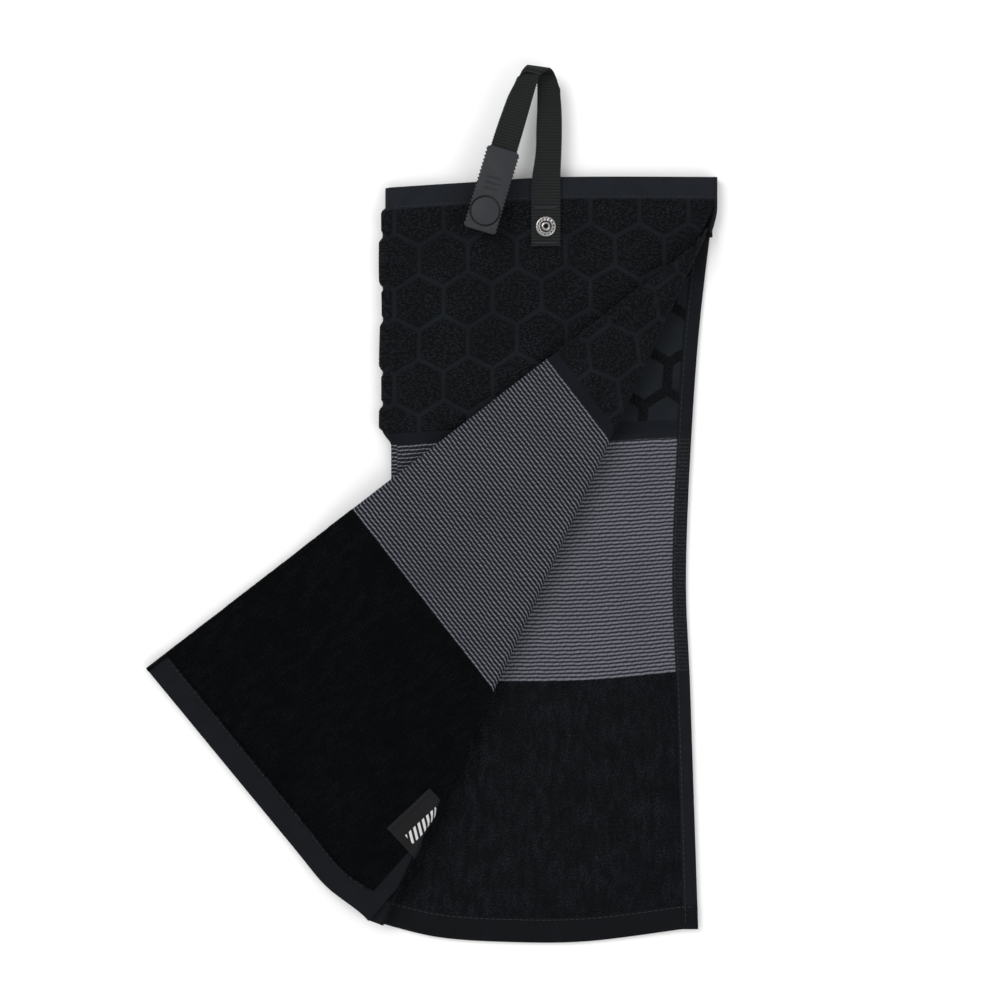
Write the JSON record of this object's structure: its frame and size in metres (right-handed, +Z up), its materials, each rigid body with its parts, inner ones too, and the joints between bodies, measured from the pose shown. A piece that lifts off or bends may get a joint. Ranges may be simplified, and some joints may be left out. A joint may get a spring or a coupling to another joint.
{
  "type": "golf towel",
  "caption": "Tri-fold golf towel lying flat with its lower right part turned over along a diagonal crease, and a webbing strap with a rubber pull tab and ring snap.",
  "frame": {"origin": "middle of the bounding box on the surface that the towel lies on", "axes": "+Z up off the surface, +Y along the towel towards its strap, +X to the right seen from above"},
  "size_m": [0.3042, 0.468, 0.0172],
  "materials": {
    "scrub_weave": "matt looped pads in a hexagon weave",
    "striped_weave": "matt, black with grey slanted dashes",
    "terry_cloth": "matt loops",
    "hem_cloth": "matt flat weave",
    "thread": "satin",
    "label_satin": "woven satin",
    "webbing": "matt ribbed weave",
    "rubber": "matt",
    "steel": "polished",
    "brass": "satin"
  },
  "bodies": {
    "towel": {"back_panel": "terry_cloth", "back_top_hem": "hem_cloth", "back_bottom_hem": "hem_cloth", "back_side_hem": "hem_cloth", "tucked_panel": "terry_cloth", "tucked_top_hem": "hem_cloth", "tucked_side_hem": "hem_cloth", "middle_panel": "scrub_weave", "middle_top_hem": "hem_cloth", "left_fold": "scrub_weave", "right_fold": "scrub_weave", "crease_inner": "terry_cloth", "crease_outer": "terry_cloth", "bottom_hem_thread": "thread", "side_hem_thread": "thread", "top_hem_thread": "thread", "strap_sewn_leg": "webbing", "snap_stud": "steel", "snap_eyelet": "brass", "lower_bar_tack": "thread", "upper_bar_tack": "thread"},
    "flap": {"flap_lower_hem": "hem_cloth", "flap_lower_layer": "terry_cloth", "flap_upper_hem": "hem_cloth", "flap_side_hem": "hem_cloth", "flap_upper_layer": "striped_weave", "flap_edge_fold": "striped_weave", "flap_hem_thread": "thread", "label": "label_satin", "label_thread": "thread"},
    "strap_loop": {"strap_bend": "webbing"},
    "strap_end": {"strap_free_leg": "webbing", "tab_body": "rubber", "tab_cap": "rubber", "snap_socket": "steel", "socket_spring": "steel"}
  },
  "joints": [
    {"name": "flap_turn", "type": "hinge", "parent": "towel", "child": "flap", "pos_m": [0.14469, 0.14643, 0.00735], "axis": [0.421, 0.907, 0], "range_deg": [0, 180], "deforming": ["crease_inner", "crease_outer"]},
    {"name": "strap_swing", "type": "hinge", "parent": "towel", "child": "strap_loop", "pos_m": [0.06245, 0.22888, 0.01155], "axis": [0, 0, 1], "range_deg": [0, 22.98]},
    {"name": "strap_lift", "type": "hinge", "parent": "strap_loop", "child": "strap_end", "pos_m": [0.05574, 0.22888, 0.01155], "axis": [-0.9894, 0.1452, 0], "range_deg": [-1.5, 150], "deforming": ["strap_bend"]}
  ]
}
